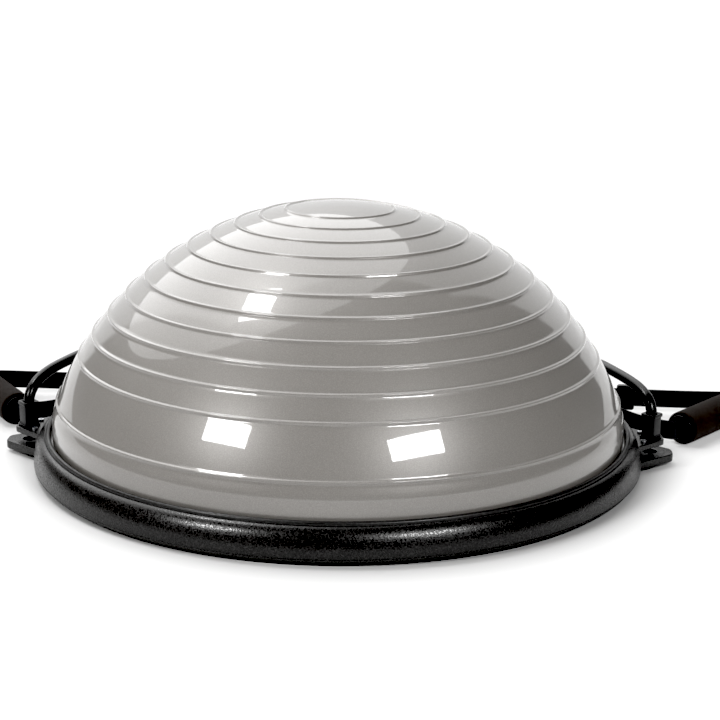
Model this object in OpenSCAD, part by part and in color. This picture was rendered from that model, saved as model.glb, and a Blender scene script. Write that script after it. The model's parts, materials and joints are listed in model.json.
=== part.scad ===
// Half-ball balance trainer: an air-filled ribbed dome clamped into a round platform, with a
// resistance tube and a foam-grip handle on each side. Millimetres, +Z up.
// The origin is on the floor at the platform's centre, and the two anchor ears lie on the X axis.

/* [Dome] */
// Height of the crown above the floor
crown_h = 264.5; // [255:0.5:275]
// Radius of the crown's arc, in section
crown_r = 298; // [290:1:306]
// Radius of the side's arc, in section
side_r = 313; // [305:1:320]
// Radius of the arc that turns the side down to the vertical
hip_r = 31; // [26:1:36]
// Thickness of the dome's skin
skin = 3; // [2:0.5:4]
// Distance along the skin from the crown to the first rib
first_rib = 54.6; // [50:0.2:60]
// Distance along the skin from one rib to the next
rib_pitch = 26; // [24:0.2:27]
// Number of rib places, of which the last but one is left plain
rib_places = 13; // [8:1:13]
// Width of a rib
rib_w = 3.2; // [2:0.2:5]
// Height of a rib above the skin
rib_h = 1.3; // [0.6:0.1:2]

/* [Platform] */
// Outside radius of the platform
rim_r = 310; // [308:1:314]
// Height of the rounded lip round the dome
lip_h = 38; // [37:0.2:40]
// Width of the rounded lip
lip_w = 5; // [4:0.5:5]
// Thickness of the moulded rim
wall = 3; // [2.5:0.5:3.5]
// Thickness of the bottom plate
plate_t = 3; // [2.5:0.5:3]
// Height of the rubber feet
foot_h = 3; // [2:0.5:3.5]
// Number of feet round the edge
foot_n = 12; // [8:1:14]
// Number of screws that hold the bottom plate
screw_n = 12; // [8:2:16]

/* [Ears] */
// Distance from the centre to a clip's swivel axis
clip_x = 321; // [320:1:323]
// Height of the top of the upper ear plate
ear_top = 27; // [26:0.5:28]
// Thickness of the upper ear plate
ear_t = 6; // [5:0.5:6.5]
// Top of the lower ear plate
low_ear_top = 12.5; // [11:0.5:13]

/* [Clips] */
// Side of a clip's square block
block_w = 15; // [14:0.5:17]
// Height of a clip's block above the ear
block_h = 26; // [24:1:30]
// Diameter of the swivel stem
stem_d = 10; // [9:0.5:11]

/* [Tubes and handles] */
// Outside diameter of a resistance tube
tube_d = 11; // [10:0.5:11]
// Width of the webbing
web_w = 20; // [18:1:20]
// Thickness of the webbing
web_t = 2; // [1.5:0.5:2]
// Length of a grip, from cap face to cap face
grip_l = 126; // [120:1:126]
// Diameter of a foam sleeve
foam_d = 36; // [34:1:36]

/* [Hidden] */

$fn = 96;
LEFT = -1;
RIGHT = 1;
eps = 0.1;
tall = 60;

// ---------- dome ----------
crown_arc = 100;
side_arc = 276;
crown_a = crown_arc / crown_r * 180 / PI;
side_a = crown_a + side_arc / side_r * 180 / PI;
hip_arc = hip_r * (90 - side_a) * PI / 180;
hip_start = crown_arc + side_arc;
hip_end = hip_start + hip_arc;
bead_top = 30;
bead_bottom = 26;
bead_reach = 0.7;
groove_w = 2;

// The dome's outline after an arc length s from the crown, d inside the skin's outer face.
function crown_point(a, d) = [(crown_r - d) * sin(a), crown_h - crown_r + (crown_r - d) * cos(a)];
crown_end = crown_point(crown_a, 0);
side_c = crown_end - side_r * [sin(crown_a), cos(crown_a)];
function side_point(a, d) = side_c + (side_r - d) * [sin(a), cos(a)];
side_end = side_point(side_a, 0);
hip_c = side_end - hip_r * [sin(side_a), cos(side_a)];
function hip_point(a, d) = hip_c + (hip_r - d) * [sin(a), cos(a)];
function dome_point(s, d) =
    s <= crown_arc ? crown_point(s / crown_r * 180 / PI, d)
    : s <= hip_start ? side_point(crown_a + (s - crown_arc) / side_r * 180 / PI, d)
    : hip_point(side_a + (s - hip_start) / hip_r * 180 / PI, d);
dome_r = hip_c[0] + hip_r;

function rib_at(k) = first_rib + k * rib_pitch;
function ribbed(k) = k < rib_places - 2 || k == rib_places - 1;
rib_profile = [[-0.5, 0], [-0.3, 0.75], [0, 1], [0.3, 0.75], [0.5, 0]];

// ---------- platform section ----------
lip_in = dome_r + groove_w;
lip_c = [lip_in + lip_w / 2, lip_h - lip_w / 2];
lip_out = lip_in + lip_w;
face_lean = 10;
step_z = 34.8;
face_arc_n = 8;
face_bottom = 9;
face_c_r = 296;
// The bulging outer face: a quarter of an ellipse from the top of the rim to its widest line.
function face_point(t, d) = [
    face_c_r + (rim_r - face_c_r - d) * sin(t),
    face_bottom + (step_z - face_bottom - d) * cos(t)
];
rim_bottom = 5.8;
toe_in = 2.5;
seat_r = 280;
plate_top = foot_h + plate_t;
clamp_h = 6;
clamp_bottom = bead_bottom - clamp_h;
screw_r = 297.5;
boss_d = 8;
boss_top = 31;
pilot_d = 3;
pilot_l = 18;
screw_head_d = 7.5;
screw_head_h = 2.2;
screw_l = 16;
screw_hole_d = 4;
foot_r = 262;
foot_d = 34;
pad_d = 90;
plate_gap = 0.2;
plate_edge = 3.5;
stiffener_t = 3;
spoke_n = 6;
spoke_h = 12;

// ---------- ears, as outlines on the right-hand side ----------
upper_root = 36;
upper_tip = 9;
upper_end = 334;
upper_corner = 6;
lower_root = 40;
lower_tip = 13;
lower_end = 344;
lower_corner = 9;
low_ear_bottom = 4;
ear_in = 300;
upper_in_r = 303.5;
lower_in_r = 306.8;
ear_screw_x = 312;
ear_screw_y = 15;
ear_screw_d = 6;
ear_screw_h = 2;
ear_screw_l = 4.5;
ear_pilot_d = 2.4;
ear_pilot_l = 5;
access_d = 14;
fit = 0.08;
head_gap = 0.3;

// ---------- membrane and valve ----------
membrane_t = 2;
membrane_bottom = 27.5;
valve_y = -140;
valve_hole_r = 18;
valve_d = 12;
valve_top = membrane_bottom + membrane_t;
valve_bottom = 17;
valve_bore = 8;
valve_weld_d = 30;
valve_weld_t = 1.5;
valve_lip_d = 18;
valve_lip_t = 2;
valve_plug_l = 9;
valve_head_d = 15;
valve_head_t = 3;
pull_tab = [10, 3, 1.5];

// ---------- clips ----------
block_turn = 40;
block_top = ear_top + block_h;
block_corner = 2;
clip_foot_w = block_w + 3;
clip_foot_h = 2.2;
collar_w = block_w + 2;
collar_h = 3;
tube_bore = tube_d + 0.5;
bore_floor = 3;
mouth_h = 7;
mouth_d = 14.4;
tube_start = 34;
washer_d = 17;
washer_t = 1.2;
washer_bottom = ear_top - ear_t - head_gap - washer_t;
swivel_pilot_d = 4;
swivel_head_d = 9;
swivel_head_h = 3;
swivel_l = 9;

// ---------- handles, seen from above ----------
grip_z = foam_d / 2;
core_out = 13.5;
core_in = 12.25;
cap_bore = 10.7;
cap_flange_r = 14.5;
cap_flange_t = 3;
cap_insert = 11;
bend_r = 8;
mouth_gap = 2;
wire_r = 2;
ring_r = 14.5;
fold_r = wire_r + 0.3 + web_t / 2;
barrel_r = 8.5;
barrel_start = 20.5;
barrel_end = 48.5;
tube_end_at = 30.5;
plug_t = 3;
plug_gap = 0.3;
eye_d = 13;
eye_t = 6;
eye_hole_d = 6.2;
neck_w = 9;
slider_at = 52;

ring_at_r = [264, 179];
ring_at_l = [-256, 193];
cap_heading_r = 115;
cap_heading_l = 65;
grip_at_r = [360, 60];
grip_at_l = [-351, 81];
grip_heading_r = 51.3;
grip_heading_l = 122;
near_in_r = -25;
near_in_l = 202.6;
far_out_r = 178;
far_out_l = 3;
fold_near_r = 204;
fold_near_l = 337;
fold_far_r = 85;
fold_far_l = 87;
near_leg_r = [[272, 160], [283, 137], [296, 112], [310, 89], [322, 74], [335, 63.5]];
near_leg_l = [[-268, 165], [-281, 139], [-294, 116], [-305, 99], [-316, 87.5], [-328, 81]];
far_leg_r = [[420, 173], [400, 173], [375, 173.4], [350, 174.8], [316, 177.8], [290, 180]];
far_leg_l = [[-396, 203.3], [-370, 202.3], [-345, 201], [-308, 199], [-280, 197.6]];

// ---------- routes of the tubes, from the clip to the end cap ----------
route_r = [
    [321, 0, 34], [321, 0, 41], [321, 0, 49], [320, 2, 58], [317.5, 7, 65.5], [314, 14.5, 70],
    [309, 25, 73.5], [303.5, 36, 75.5], [297, 49, 77], [289, 66, 78], [279, 88, 78.5],
    [268, 112, 77.5], [257, 138, 73], [244, 168, 64.5], [229, 198, 53], [212, 228, 39],
    [195, 256, 25], [177, 283, 13], [161, 309, 7], [153, 334, 6], [157, 360, 6],
    [174, 379, 6], [197, 385, 6], [219, 375, 6], [232, 353, 6], [234, 326, 7.5],
    [230, 298, 11], [228, 271, 14.5], [233, 247, 17], [242.6, 224.8, 18], [251.1, 206.6, 18]
];
route_l = [
    [-321, 0, 34], [-321, 0, 41], [-321, 0, 49], [-320, 2, 58], [-317.5, 7, 65.5],
    [-314, 14.5, 71], [-309, 25, 75], [-303, 36, 78], [-296, 49, 80], [-287, 67, 81.5],
    [-278, 87, 82], [-267, 112, 80.5], [-255.5, 138, 75.5], [-242.5, 168, 66.5], [-227, 198, 54.5],
    [-211, 228, 40], [-194, 256, 26], [-176, 283, 14], [-160, 309, 7], [-150, 334, 6],
    [-152, 360, 6], [-167, 380, 6], [-190, 388, 6], [-212, 379, 6], [-226, 358, 6],
    [-229, 332, 7.5], [-224, 305, 11], [-221, 280, 15], [-225.5, 257, 17.5],
    [-234.7, 238.8, 18], [-243.1, 220.6, 18]
];
tube_sides = 10;

// ---------- helpers ----------
function arc(c, r, from, to, n) = [for (i = [0:n]) let (a = from + (to - from) * i / n)
    c + r * [cos(a), sin(a)]];
function unit(v) = v / norm(v);
function across(path, i) = let (n = len(path), d = unit(path[(i + 1) % n] - path[(i + n - 1) % n]))
    [-d[1], d[0]];
function shifted(path, d) = [for (i = [0:len(path) - 1]) path[i] + d * across(path, i)];
function heading(a) = [cos(a), sin(a)];

// A flat closed loop of webbing, standing on edge.
module web_loop(path, turn) linear_extrude(web_w) difference() {
    polygon(shifted(path, -turn * web_t / 2));
    polygon(shifted(path, turn * web_t / 2));
}

// Points of the loop of webbing, once round from the ring through the grip and back.
// turn is 1 for a loop that runs anticlockwise and -1 for a clockwise one.
function web_path(ring, near_leg, grip, grip_dir, near_in, far_out, far_leg, fold_near, fold_far, turn) =
    let (
        along = heading(grip_dir),
        inward = turn * [-along[1], along[0]],
        near_mouth = grip - mouth_gap * along,
        far_mouth = grip + (grip_l + mouth_gap) * along
    )
    concat(
        near_leg,
        arc(near_mouth + bend_r * inward, bend_r, near_in - turn * 90, grip_dir - turn * 90, 5),
        [for (t = [0:4]) grip + t / 4 * grip_l * along],
        arc(far_mouth + bend_r * inward, bend_r, grip_dir - turn * 90, far_out - turn * 90, 6),
        far_leg,
        arc(ring, fold_r, fold_far, fold_near, 6)
    );

function right_web() = web_path(ring_at_r, near_leg_r, grip_at_r, grip_heading_r, near_in_r,
    far_out_r, far_leg_r, fold_near_r, fold_far_r, 1);
function left_web() = web_path(ring_at_l, near_leg_l, grip_at_l, grip_heading_l, near_in_l,
    far_out_l, far_leg_l, fold_near_l - 360, fold_far_l, -1);

// Rings of points round a route, for one swept solid.
lean = unit([1, 1, 1.5]);
function tangent(p, i) = unit(p[min(i + 1, len(p) - 1)] - p[max(i - 1, 0)]);
function tube_ring(p, i) = let (t = tangent(p, i), u = unit(cross(lean, t)), v = cross(t, u))
    [for (k = [0:tube_sides - 1]) let (a = 360 * k / tube_sides)
        p[i] + tube_d / 2 * (cos(a) * u + sin(a) * v)];
module swept_tube(p) {
    rings = [for (i = [0:len(p) - 1]) each tube_ring(p, i)];
    n = tube_sides;
    last = len(p) - 1;
    polyhedron(rings, concat(
        [[for (k = [0:n - 1]) n - 1 - k]],
        [for (i = [0:last - 1]) for (k = [0:n - 1])
            [i * n + k, i * n + (k + 1) % n, (i + 1) * n + (k + 1) % n, (i + 1) * n + k]],
        [[for (k = [0:n - 1]) last * n + k]]
    ));
}

module ring_of(n, r) for (i = [0:n - 1]) rotate(360 * (i + 0.5) / n) translate([r, 0, 0]) children();
module both_sides() { children(); mirror([1, 0, 0]) children(); }
module drum(d, h, z = 0) translate([0, 0, z]) cylinder(d = d, h = h);
module on_side(side) { if (side == LEFT) mirror([1, 0, 0]) children(); else children(); }

// ---------- dome ----------
// The outer outline, rib by rib, from the crown to the vertical side.
dome_outer = concat(
    [[0, crown_h]],
    [for (s = [6:6:first_rib - rib_w]) dome_point(s, 0)],
    [for (k = [0:rib_places - 1]) each concat(
        ribbed(k) ? [for (q = rib_profile) dome_point(rib_at(k) + q[0] * rib_w, -q[1] * rib_h)]
                  : [dome_point(rib_at(k), 0)],
        k < rib_places - 1 ? [dome_point(rib_at(k) + rib_pitch / 2, 0)] : []
    )],
    [for (s = [rib_at(rib_places - 1) + rib_pitch / 2:rib_pitch / 2:hip_start - 4]) dome_point(s, 0)],
    [for (i = [0:4]) dome_point(hip_start + i / 4 * hip_arc, 0)]
);
dome_inner = [for (i = [0:30]) dome_point(hip_end * (30 - i) / 30, skin)];

module dome_skin() color("#9d9b98") rotate_extrude($fn = 180) polygon(concat(
    dome_outer,
    [[dome_r, bead_top], [lip_in + bead_reach, bead_top], [lip_in + bead_reach, bead_bottom],
     [dome_r - skin, bead_bottom]],
    dome_inner
));

module air_membrane() color("#8a8885") difference() {
    drum(2 * (dome_r - skin - eps), membrane_t, membrane_bottom);
    translate([0, valve_y, 0]) drum(valve_d + 0.4, tall);
}

module valve_seat() color("#77756f") translate([0, valve_y, 0]) difference() {
    union() {
        drum(valve_d, valve_top - valve_bottom, valve_bottom);
        drum(valve_weld_d, valve_weld_t, membrane_bottom - valve_weld_t);
        drum(valve_lip_d, valve_lip_t, valve_bottom);
    }
    drum(valve_bore, tall);
}

module valve_plug() color("#d8d8d4") translate([0, valve_y, 0]) {
    drum(valve_bore - 2 * fit, valve_plug_l, valve_bottom);
    drum(valve_head_d, valve_head_t, valve_bottom - valve_head_t);
    translate([-pull_tab[0] / 2, -pull_tab[1] / 2, valve_bottom - valve_head_t - pull_tab[2]])
        cube(pull_tab);
}

// ---------- platform ----------
module ear_outline(root, tip, end, corner) hull() {
    translate([ear_in, -root]) square([1, 2 * root]);
    for (y = [-1, 1]) translate([end - corner, y * (tip - corner)]) circle(corner, $fn = 32);
}

module rim_section() polygon(concat(
    [[lip_in, bead_top]],
    arc(lip_c, lip_w / 2, 180, 0, 10),
    [[lip_out, step_z]],
    [for (i = [0:face_arc_n]) face_point(face_lean + (90 - face_lean) * i / face_arc_n, 0)],
    [[rim_r - 0.5, rim_bottom + 1], [rim_r - toe_in, rim_bottom], [rim_r - toe_in - wall, rim_bottom],
     [rim_r - wall, face_bottom]],
    [for (i = [1:face_arc_n - 1]) face_point(90 - (90 - face_lean) * i / face_arc_n, wall)],
    [[lip_out, bead_top]]
));

module base_rim() color("#1b1b1c") {
    difference() {
        union() {
            rotate_extrude($fn = 180) rim_section();
            ring_of(screw_n, screw_r) drum(boss_d, boss_top - plate_top, plate_top);
            both_sides() difference() {
                translate([0, 0, ear_top - ear_t])
                    linear_extrude(ear_t) ear_outline(upper_root, upper_tip, upper_end, upper_corner);
                drum(2 * upper_in_r, tall);
            }
            both_sides() difference() {
                translate([0, 0, low_ear_bottom]) linear_extrude(low_ear_top - low_ear_bottom)
                    ear_outline(lower_root, lower_tip, lower_end, lower_corner);
                drum(2 * lower_in_r, tall);
            }
        }
        ring_of(screw_n, screw_r) drum(pilot_d, pilot_l, plate_top - 1);
        both_sides() {
            translate([clip_x, 0, 0]) drum(stem_d + 2 * fit, tall, low_ear_top + 1);
            translate([clip_x, 0, 0]) drum(access_d, ear_top - ear_t - 1);
            for (y = [-1, 1]) translate([ear_screw_x, y * ear_screw_y, 0])
                drum(ear_pilot_d, tall, ear_top - ear_pilot_l);
        }
    }
}

module clamp_ring() color("#2b2b2c") rotate_extrude($fn = 180)
    translate([seat_r - 4, clamp_bottom]) square([lip_in - 0.5 - seat_r + 4, clamp_h - eps]);

// The flat plate, stiffened by round ribs and spokes that clear the valve.
module base_plate() color("#202021") difference() {
    union() {
        drum(2 * (rim_r - plate_edge), plate_t - plate_gap, foot_h);
        for (r = [130, 210, seat_r]) difference() {
            drum(2 * (r + stiffener_t), clamp_bottom - foot_h - eps, foot_h);
            drum(2 * r, tall, foot_h + 1);
        }
        difference() {
            intersection() {
                for (i = [0:spoke_n - 1]) rotate(180 * (i + 0.5) / spoke_n)
                    translate([-seat_r, -stiffener_t / 2, foot_h]) cube([2 * seat_r, stiffener_t, spoke_h]);
                drum(2 * seat_r + 2, tall);
            }
            translate([0, valve_y, 0]) drum(2 * valve_hole_r + 8, tall);
        }
    }
    translate([0, valve_y, 0]) drum(2 * valve_hole_r, tall);
    ring_of(screw_n, screw_r) drum(screw_hole_d, tall);
}

module rubber_feet() color("#0f0f10") {
    ring_of(foot_n, foot_r) drum(foot_d, foot_h);
    drum(pad_d, foot_h);
}

module pan_screw(head_d, head_h, shank_d, shank_l) {
    difference() {
        drum(head_d, head_h);
        translate([0, 0, -eps]) cylinder(d = head_d * 0.45, h = head_h * 0.5, $fn = 6);
    }
    drum(shank_d, shank_l, head_h);
}

module base_screws() color("#8d9094") ring_of(screw_n, screw_r)
    translate([0, 0, foot_h - screw_head_h])
        pan_screw(screw_head_d, screw_head_h, pilot_d - eps, screw_l);

module ear_screws() color("#7c7f83") both_sides() for (y = [-1, 1])
    translate([ear_screw_x, y * ear_screw_y, ear_top + ear_screw_h]) mirror([0, 0, 1])
        pan_screw(ear_screw_d, ear_screw_h, ear_pilot_d - eps, ear_screw_l);

// ---------- clips ----------
module rounded_block(w, h, z) translate([0, 0, z]) linear_extrude(h) hull()
    for (x = [-1, 1], y = [-1, 1]) translate([x, y] * (w / 2 - block_corner))
        circle(block_corner, $fn = 32);

module clip(side) color("#161617") on_side(side) translate([clip_x, 0, 0]) rotate(-block_turn)
    difference() {
        union() {
            rounded_block(clip_foot_w, clip_foot_h, ear_top + head_gap);
            rounded_block(block_w, block_top - ear_top - 1, ear_top + 1);
            rounded_block(collar_w, collar_h, block_top - collar_h);
            drum(stem_d, ear_t + head_gap + 1, ear_top - ear_t);
        }
        drum(tube_bore, block_h, ear_top + bore_floor);
        translate([0, 0, block_top - mouth_h]) cylinder(d1 = tube_bore, d2 = mouth_d, h = mouth_h + eps);
        drum(swivel_pilot_d, ear_t + bore_floor + 1, ear_top - ear_t - eps);
    }

module swivel_washer(side) color("#8d9094") on_side(side) translate([clip_x, 0, 0]) difference() {
    drum(washer_d, washer_t, washer_bottom);
    drum(swivel_pilot_d + 0.4, tall);
}

module swivel_screw(side) color("#8d9094") on_side(side)
    translate([clip_x, 0, washer_bottom - swivel_head_h])
        pan_screw(swivel_head_d, swivel_head_h, swivel_pilot_d - eps, swivel_l);

module tube_plug(side) color("#2f2f30") on_side(side) translate([clip_x, 0, 0])
    drum(tube_d, tube_start - ear_top - bore_floor, ear_top + bore_floor);

module tube_left() color("#111112") swept_tube(route_l);
module tube_right() color("#111112") swept_tube(route_r);

// ---------- end caps and rings, with the ring's bar at the origin and the cap along +X ----------
module at_ring(side) translate(concat(side == LEFT ? ring_at_l : ring_at_r, grip_z))
    rotate(side == LEFT ? cap_heading_l : cap_heading_r) children();

module lying(z, d, h) translate([z, 0, 0]) rotate([0, 90, 0]) cylinder(d = d, h = h);

module end_cap(side) color("#161617") at_ring(side) difference() {
    union() {
        translate([ring_r, 0, -eye_t / 2]) drum(eye_d, eye_t);
        translate([ring_r, -neck_w / 2, -eye_t / 2]) cube([barrel_start - ring_r + 1, neck_w, eye_t]);
        lying(barrel_start, 2 * barrel_r, barrel_end - barrel_start);
    }
    translate([ring_r, 0, -eye_t]) drum(eye_hole_d, 2 * eye_t);
    lying(tube_end_at - plug_t, tube_bore, tall);
}

// The stopper's face stays just short of the tube's end.
module end_plug(side) color("#2f2f30") at_ring(side)
    lying(tube_end_at - plug_t, tube_d, plug_t - plug_gap);

module d_ring(side) color("#3a3b3d") at_ring(side) {
    rotate([90, 0, 0]) rotate_extrude(angle = 180, start = -90) translate([ring_r, 0])
        circle(wire_r, $fn = 32);
    translate([0, 0, -ring_r]) cylinder(r = wire_r, h = 2 * ring_r, $fn = 32);
    for (z = [-1, 1]) translate([0, 0, z * ring_r]) sphere(wire_r, $fn = 32);
}

// ---------- webbing and its sliders ----------
module strap_left() color("#19191a") translate([0, 0, grip_z - web_w / 2]) web_loop(left_web(), LEFT);
module strap_right() color("#19191a") translate([0, 0, grip_z - web_w / 2]) web_loop(right_web(), RIGHT);

// A flat frame round the far leg, with a bar behind the webbing on each side of a window.
module slider_frame() {
    length = 20;
    height = web_w + 8;
    depth = web_t + 5;
    slot_t = web_t + 1;
    slot_h = web_w + 1.2;
    window_w = 6;
    window_h = web_w - 2;
    difference() {
        translate([-length / 2, -depth / 2, -height / 2]) cube([length, depth, height]);
        translate([-length, -slot_t / 2, -slot_h / 2]) cube([2 * length, slot_t, slot_h]);
        for (x = [-1, 1]) translate([x * length / 4 - window_w / 2, -depth, -window_h / 2])
            cube([window_w, 2 * depth, window_h]);
    }
}

module strap_slider(side) color("#121213") {
    ring = side == LEFT ? ring_at_l : ring_at_r;
    fold = side == LEFT ? fold_far_l : fold_far_r;
    out = fold - side * 90;
    translate(concat(ring + fold_r * heading(fold) + slider_at * heading(out), grip_z))
        rotate(out) slider_frame();
}

// ---------- grips, with the near cap's face at the origin and the grip along +X ----------
module at_grip(side) translate(concat(side == LEFT ? grip_at_l : grip_at_r, grip_z))
    rotate(side == LEFT ? grip_heading_l : grip_heading_r) children();

module sleeve(from, to, out_r, in_r) difference() {
    lying(from, 2 * out_r, to - from);
    lying(from - 1, 2 * in_r, to - from + 2);
}

module grip_core(side) color("#141415") at_grip(side)
    sleeve(cap_flange_t, grip_l - cap_flange_t, core_out, core_in);

module grip_caps(side) color("#1a1a1b") at_grip(side) {
    sleeve(0, cap_flange_t, cap_flange_r, cap_bore);
    sleeve(cap_flange_t, cap_insert, core_in - eps, cap_bore);
    sleeve(grip_l - cap_flange_t, grip_l, cap_flange_r, cap_bore);
    sleeve(grip_l - cap_insert, grip_l - cap_flange_t, core_in - eps, cap_bore);
}

module foam_sleeve(side) color("#1d1c1c") at_grip(side)
    sleeve(cap_flange_t + eps, grip_l - cap_flange_t - eps, foam_d / 2, core_out + eps);

dome_skin();
air_membrane();
valve_seat();
valve_plug();
base_rim();
clamp_ring();
base_plate();
rubber_feet();
base_screws();
ear_screws();
clip(LEFT);  // clip_left
clip(RIGHT);  // clip_right
swivel_washer(LEFT);  // swivel_washer_left
swivel_washer(RIGHT);  // swivel_washer_right
swivel_screw(LEFT);  // swivel_screw_left
swivel_screw(RIGHT);  // swivel_screw_right
tube_plug(LEFT);  // tube_plug_left
tube_plug(RIGHT);  // tube_plug_right
tube_left();
tube_right();
end_plug(LEFT);  // end_plug_left
end_plug(RIGHT);  // end_plug_right
end_cap(LEFT);  // end_cap_left
end_cap(RIGHT);  // end_cap_right
d_ring(LEFT);  // d_ring_left
d_ring(RIGHT);  // d_ring_right
strap_left();
strap_right();
strap_slider(LEFT);  // strap_slider_left
strap_slider(RIGHT);  // strap_slider_right
grip_core(LEFT);  // grip_core_left
grip_core(RIGHT);  // grip_core_right
grip_caps(LEFT);  // grip_caps_left
grip_caps(RIGHT);  // grip_caps_right
foam_sleeve(LEFT);  // foam_sleeve_left
foam_sleeve(RIGHT);  // foam_sleeve_right
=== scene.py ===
"""Looks of the half-ball balance trainer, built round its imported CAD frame. Metres, +Z up."""

import json
import math

import bmesh
import bpy
from mathutils import Matrix, Vector
from mathutils.noise import noise as noise_of


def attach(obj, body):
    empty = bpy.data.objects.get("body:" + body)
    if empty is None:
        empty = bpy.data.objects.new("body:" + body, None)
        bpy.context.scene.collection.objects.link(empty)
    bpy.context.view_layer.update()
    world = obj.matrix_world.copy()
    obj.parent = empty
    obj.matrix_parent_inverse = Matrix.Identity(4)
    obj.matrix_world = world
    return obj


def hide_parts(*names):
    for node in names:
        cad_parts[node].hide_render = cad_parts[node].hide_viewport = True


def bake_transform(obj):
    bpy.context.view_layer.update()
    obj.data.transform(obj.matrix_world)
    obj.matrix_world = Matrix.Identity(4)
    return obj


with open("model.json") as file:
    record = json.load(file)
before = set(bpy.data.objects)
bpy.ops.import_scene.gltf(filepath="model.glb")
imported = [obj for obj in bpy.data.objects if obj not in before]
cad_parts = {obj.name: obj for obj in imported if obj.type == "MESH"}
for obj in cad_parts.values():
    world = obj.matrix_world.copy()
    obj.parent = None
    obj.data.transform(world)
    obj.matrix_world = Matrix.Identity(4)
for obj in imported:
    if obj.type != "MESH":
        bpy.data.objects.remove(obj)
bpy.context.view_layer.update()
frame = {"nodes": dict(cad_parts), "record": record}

MM = 0.001
AXIS_R = 0.0001  # a turned piece's middle closes this near its axis
SIDES = {"left": -1, "right": 1}

# ---------------------------------------------------------------- small mesh tools


def arc(centre, radius, start, end, count):
    """Points of a flat arc, its angles in degrees."""
    steps = [math.radians(start + (end - start) * i / count) for i in range(count + 1)]
    return [(centre[0] + radius * math.cos(a), centre[1] + radius * math.sin(a)) for a in steps]


def heading(degrees):
    return Vector((math.cos(math.radians(degrees)), math.sin(math.radians(degrees))))


def new_object(name, bm, smooth=True):
    mesh = bpy.data.meshes.new(name)
    bmesh.ops.recalc_face_normals(bm, faces=bm.faces)
    bm.to_mesh(mesh)
    bm.free()
    for polygon in mesh.polygons:
        polygon.use_smooth = smooth
    piece = bpy.data.objects.new(name, mesh)
    bpy.context.scene.collection.objects.link(piece)
    return piece


def sharpen(piece, degrees=18):
    """Smooth shading that keeps edges sharper than the angle."""
    bm = bmesh.new()
    bm.from_mesh(piece.data)
    for edge in bm.edges:
        edge.smooth = len(edge.link_faces) == 2 and edge.calc_face_angle(0) < math.radians(degrees)
    bm.to_mesh(piece.data)
    bm.free()
    return piece


def revolve(bm, profile, segments, closed=True, place=None):
    """Turns a section of (radius, height) points about Z. UVs are arc length across and round."""
    uv = bm.loops.layers.uv.verify()
    place = place or Matrix.Identity(4)
    rings = []
    for i in range(segments):
        a = 2 * math.pi * i / segments
        ring = [Vector((r * math.cos(a), r * math.sin(a), z)) for r, z in profile]
        rings.append([bm.verts.new(place @ point) for point in ring])
    run = [0.0]
    for p, q in zip(profile, profile[1:] + profile[:1]):
        run.append(run[-1] + math.dist(p, q))
    count = len(profile)
    for i in range(segments):
        one, two = rings[i], rings[(i + 1) % segments]
        for k in range(count if closed else count - 1):
            j = (k + 1) % count
            corners = [(one[k], i, run[k]), (one[j], i, run[k + 1]),
                       (two[j], i + 1, run[k + 1]), (two[k], i + 1, run[k])]
            radius = max(profile[k][0], profile[j][0])
            face = bm.faces.new([c[0] for c in corners])
            for loop, (_, turn, along) in zip(face.loops, corners):
                loop[uv].uv = (turn / segments * 2 * math.pi * radius, along)


def spline(points, steps):
    """A smooth open curve through points (Catmull-Rom), as a list of Vectors."""
    p = [Vector(q) for q in points]
    p = [2 * p[0] - p[1]] + p + [2 * p[-1] - p[-2]]
    out = []
    for a, b, c, d in zip(p, p[1:], p[2:], p[3:]):
        for i in range(steps):
            t = i / steps
            out.append(0.5 * (2 * b + (c - a) * t + (2 * a - 5 * b + 4 * c - d) * t**2
                              + (3 * b - a - 3 * c + d) * t**3))
    out.append(p[-2])
    return out


def sweep(bm, path, section, closed=False, upright=None):
    """Carries a flat section along a path. The section's first axis is sideways and its second is up."""
    uv = bm.loops.layers.uv.verify()
    count = len(path)
    run = [0.0]
    for p, q in zip(path, path[1:] + path[:1]):
        run.append(run[-1] + (q - p).length)
    rings = []
    last_up = Vector(upright or (0.3, 0.3, 0.9))
    for i, point in enumerate(path):
        before = path[i - 1] if closed or i else path[0]
        after = path[(i + 1) % count] if closed or i < count - 1 else path[-1]
        along = (after - before).normalized()
        side = last_up.cross(along).normalized()
        up = along.cross(side)
        if not upright:
            last_up = up
        rings.append([bm.verts.new(point + side * x + up * y) for x, y in section])
    around = [0.0]
    for p, q in zip(section, section[1:] + section[:1]):
        around.append(around[-1] + math.dist(p, q))
    size = len(section)
    for i in range(count if closed else count - 1):
        one, two = rings[i], rings[(i + 1) % count]
        for k in range(size):
            j = (k + 1) % size
            corners = [(one[k], run[i], around[k]), (two[k], run[i + 1], around[k]),
                       (two[j], run[i + 1], around[k + 1]), (one[j], run[i], around[k + 1])]
            face = bm.faces.new([c[0] for c in corners])
            for loop, (_, u, v) in zip(face.loops, corners):
                loop[uv].uv = (u, v)
    if not closed:
        bm.faces.new(list(reversed(rings[0])))
        bm.faces.new(rings[-1])


def circle(radius, count=24, centre=(0, 0)):
    return arc(centre, radius, 0, 360 * (count - 1) / count, count - 1)


def rounded_rectangle(width, height, corner, centre=(0, 0), steps=6):
    """Outline of a rectangle with round corners."""
    w, h = width / 2 - corner, height / 2 - corner
    points = []
    for x, y, start in ((w, h, 0), (-w, h, 90), (-w, -h, 180), (w, -h, 270)):
        points += arc((centre[0] + x, centre[1] + y), corner, start, start + 90, steps)
    return points


def turned(points, degrees, centre=(0, 0)):
    """A flat outline turned about the origin and then moved."""
    c, s = math.cos(math.radians(degrees)), math.sin(math.radians(degrees))
    return [(x * c - y * s + centre[0], x * s + y * c + centre[1]) for x, y in points]


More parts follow.
